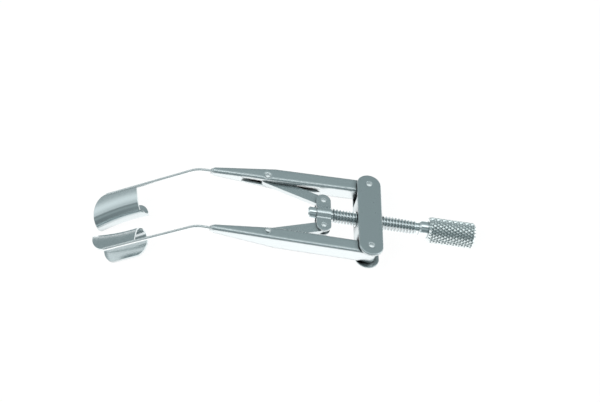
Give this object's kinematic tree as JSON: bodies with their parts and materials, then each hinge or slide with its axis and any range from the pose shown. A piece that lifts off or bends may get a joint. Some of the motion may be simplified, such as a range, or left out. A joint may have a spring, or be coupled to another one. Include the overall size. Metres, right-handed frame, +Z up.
{
  "type": "adjustable eye speculum",
  "caption": "Screw-adjustable eye speculum in satin steel: two slotted arms with wire-mounted gutter blades, spread by a knurled thumb screw, yoke and links",
  "frame": {"origin": "bottom centre of the bounding box, on the surface that the instrument lies on", "axes": "+X runs from the lid blades towards the thumb knob, +Y towards the upper arm, +Z up; the instrument lies on its blades' toes and its knob's rim"},
  "size_m": [0.0766, 0.021, 0.0135],
  "materials": {
    "satin_steel": "satin",
    "bridge_steel": "fine blasted satin",
    "polished_steel": "polished",
    "turned_steel": "turned, bright"
  },
  "bodies": {
    "bridge": {"bridge_top_plate": "bridge_steel", "bridge_bottom_plate": "bridge_steel", "bridge_block": "bridge_steel", "upper_pivot_rivet": "polished_steel", "lower_pivot_rivet": "polished_steel"},
    "upper_lever": {"upper_arm": "satin_steel", "upper_wire": "polished_steel", "upper_blade": "polished_steel", "upper_link_rivet": "polished_steel"},
    "lower_lever": {"lower_arm": "satin_steel", "lower_wire": "polished_steel", "lower_blade": "polished_steel", "lower_link_rivet": "polished_steel"},
    "yoke": {"yoke_top_plate": "bridge_steel", "yoke_bottom_plate": "bridge_steel", "upper_yoke_rivet": "polished_steel", "lower_yoke_rivet": "polished_steel"},
    "upper_strut": {"upper_link": "satin_steel"},
    "lower_strut": {"lower_link": "satin_steel"},
    "screw_and_knob": {"screw": "turned_steel", "screw_collar": "turned_steel", "thumb_knob": "turned_steel"}
  },
  "joints": [
    {"name": "upper_arm_swing", "type": "hinge", "parent": "bridge", "child": "upper_lever", "pos_m": [0.01647, 0.00805, 0.00667], "axis": [-0.1913, 0, -0.9815], "range_deg": [-0.9, 10.8]},
    {"name": "lower_arm_swing", "type": "hinge", "parent": "bridge", "child": "lower_lever", "pos_m": [0.01647, -0.00805, 0.00667], "axis": [0.1913, 0, 0.9815], "range_deg": [-0.9, 10.8]},
    {"name": "yoke_travel", "type": "slide", "parent": "bridge", "child": "yoke", "axis": [-0.9815, 0, 0.1913], "range_m": [-0.00016, 0.0019]},
    {"name": "screw_turn", "type": "hinge", "parent": "yoke", "child": "screw_and_knob", "pos_m": [0.00744, 0, 0.00843], "axis": [-0.9815, 0, 0.1913], "range_deg": [-90, 1080]},
    {"name": "upper_link_swing", "type": "hinge", "parent": "yoke", "child": "upper_strut", "pos_m": [0.00744, 0.00322, 0.00843], "axis": [-0.1913, 0, -0.9815], "range_deg": [-1.75, 20.8]},
    {"name": "lower_link_swing", "type": "hinge", "parent": "yoke", "child": "lower_strut", "pos_m": [0.00744, -0.00322, 0.00843], "axis": [0.1913, 0, 0.9815], "range_deg": [-1.75, 20.8]}
  ],
  "couplings": [
    {"joint": "lower_arm_swing", "follows": "upper_arm_swing", "ratio": 1},
    {"joint": "yoke_travel", "follows": "upper_arm_swing", "m_per_rad": 0.010063},
    {"joint": "screw_turn", "follows": "upper_arm_swing", "ratio": 99.566},
    {"joint": "upper_link_swing", "follows": "upper_arm_swing", "ratio": 1.9245},
    {"joint": "lower_link_swing", "follows": "upper_arm_swing", "ratio": 1.9245}
  ]
}
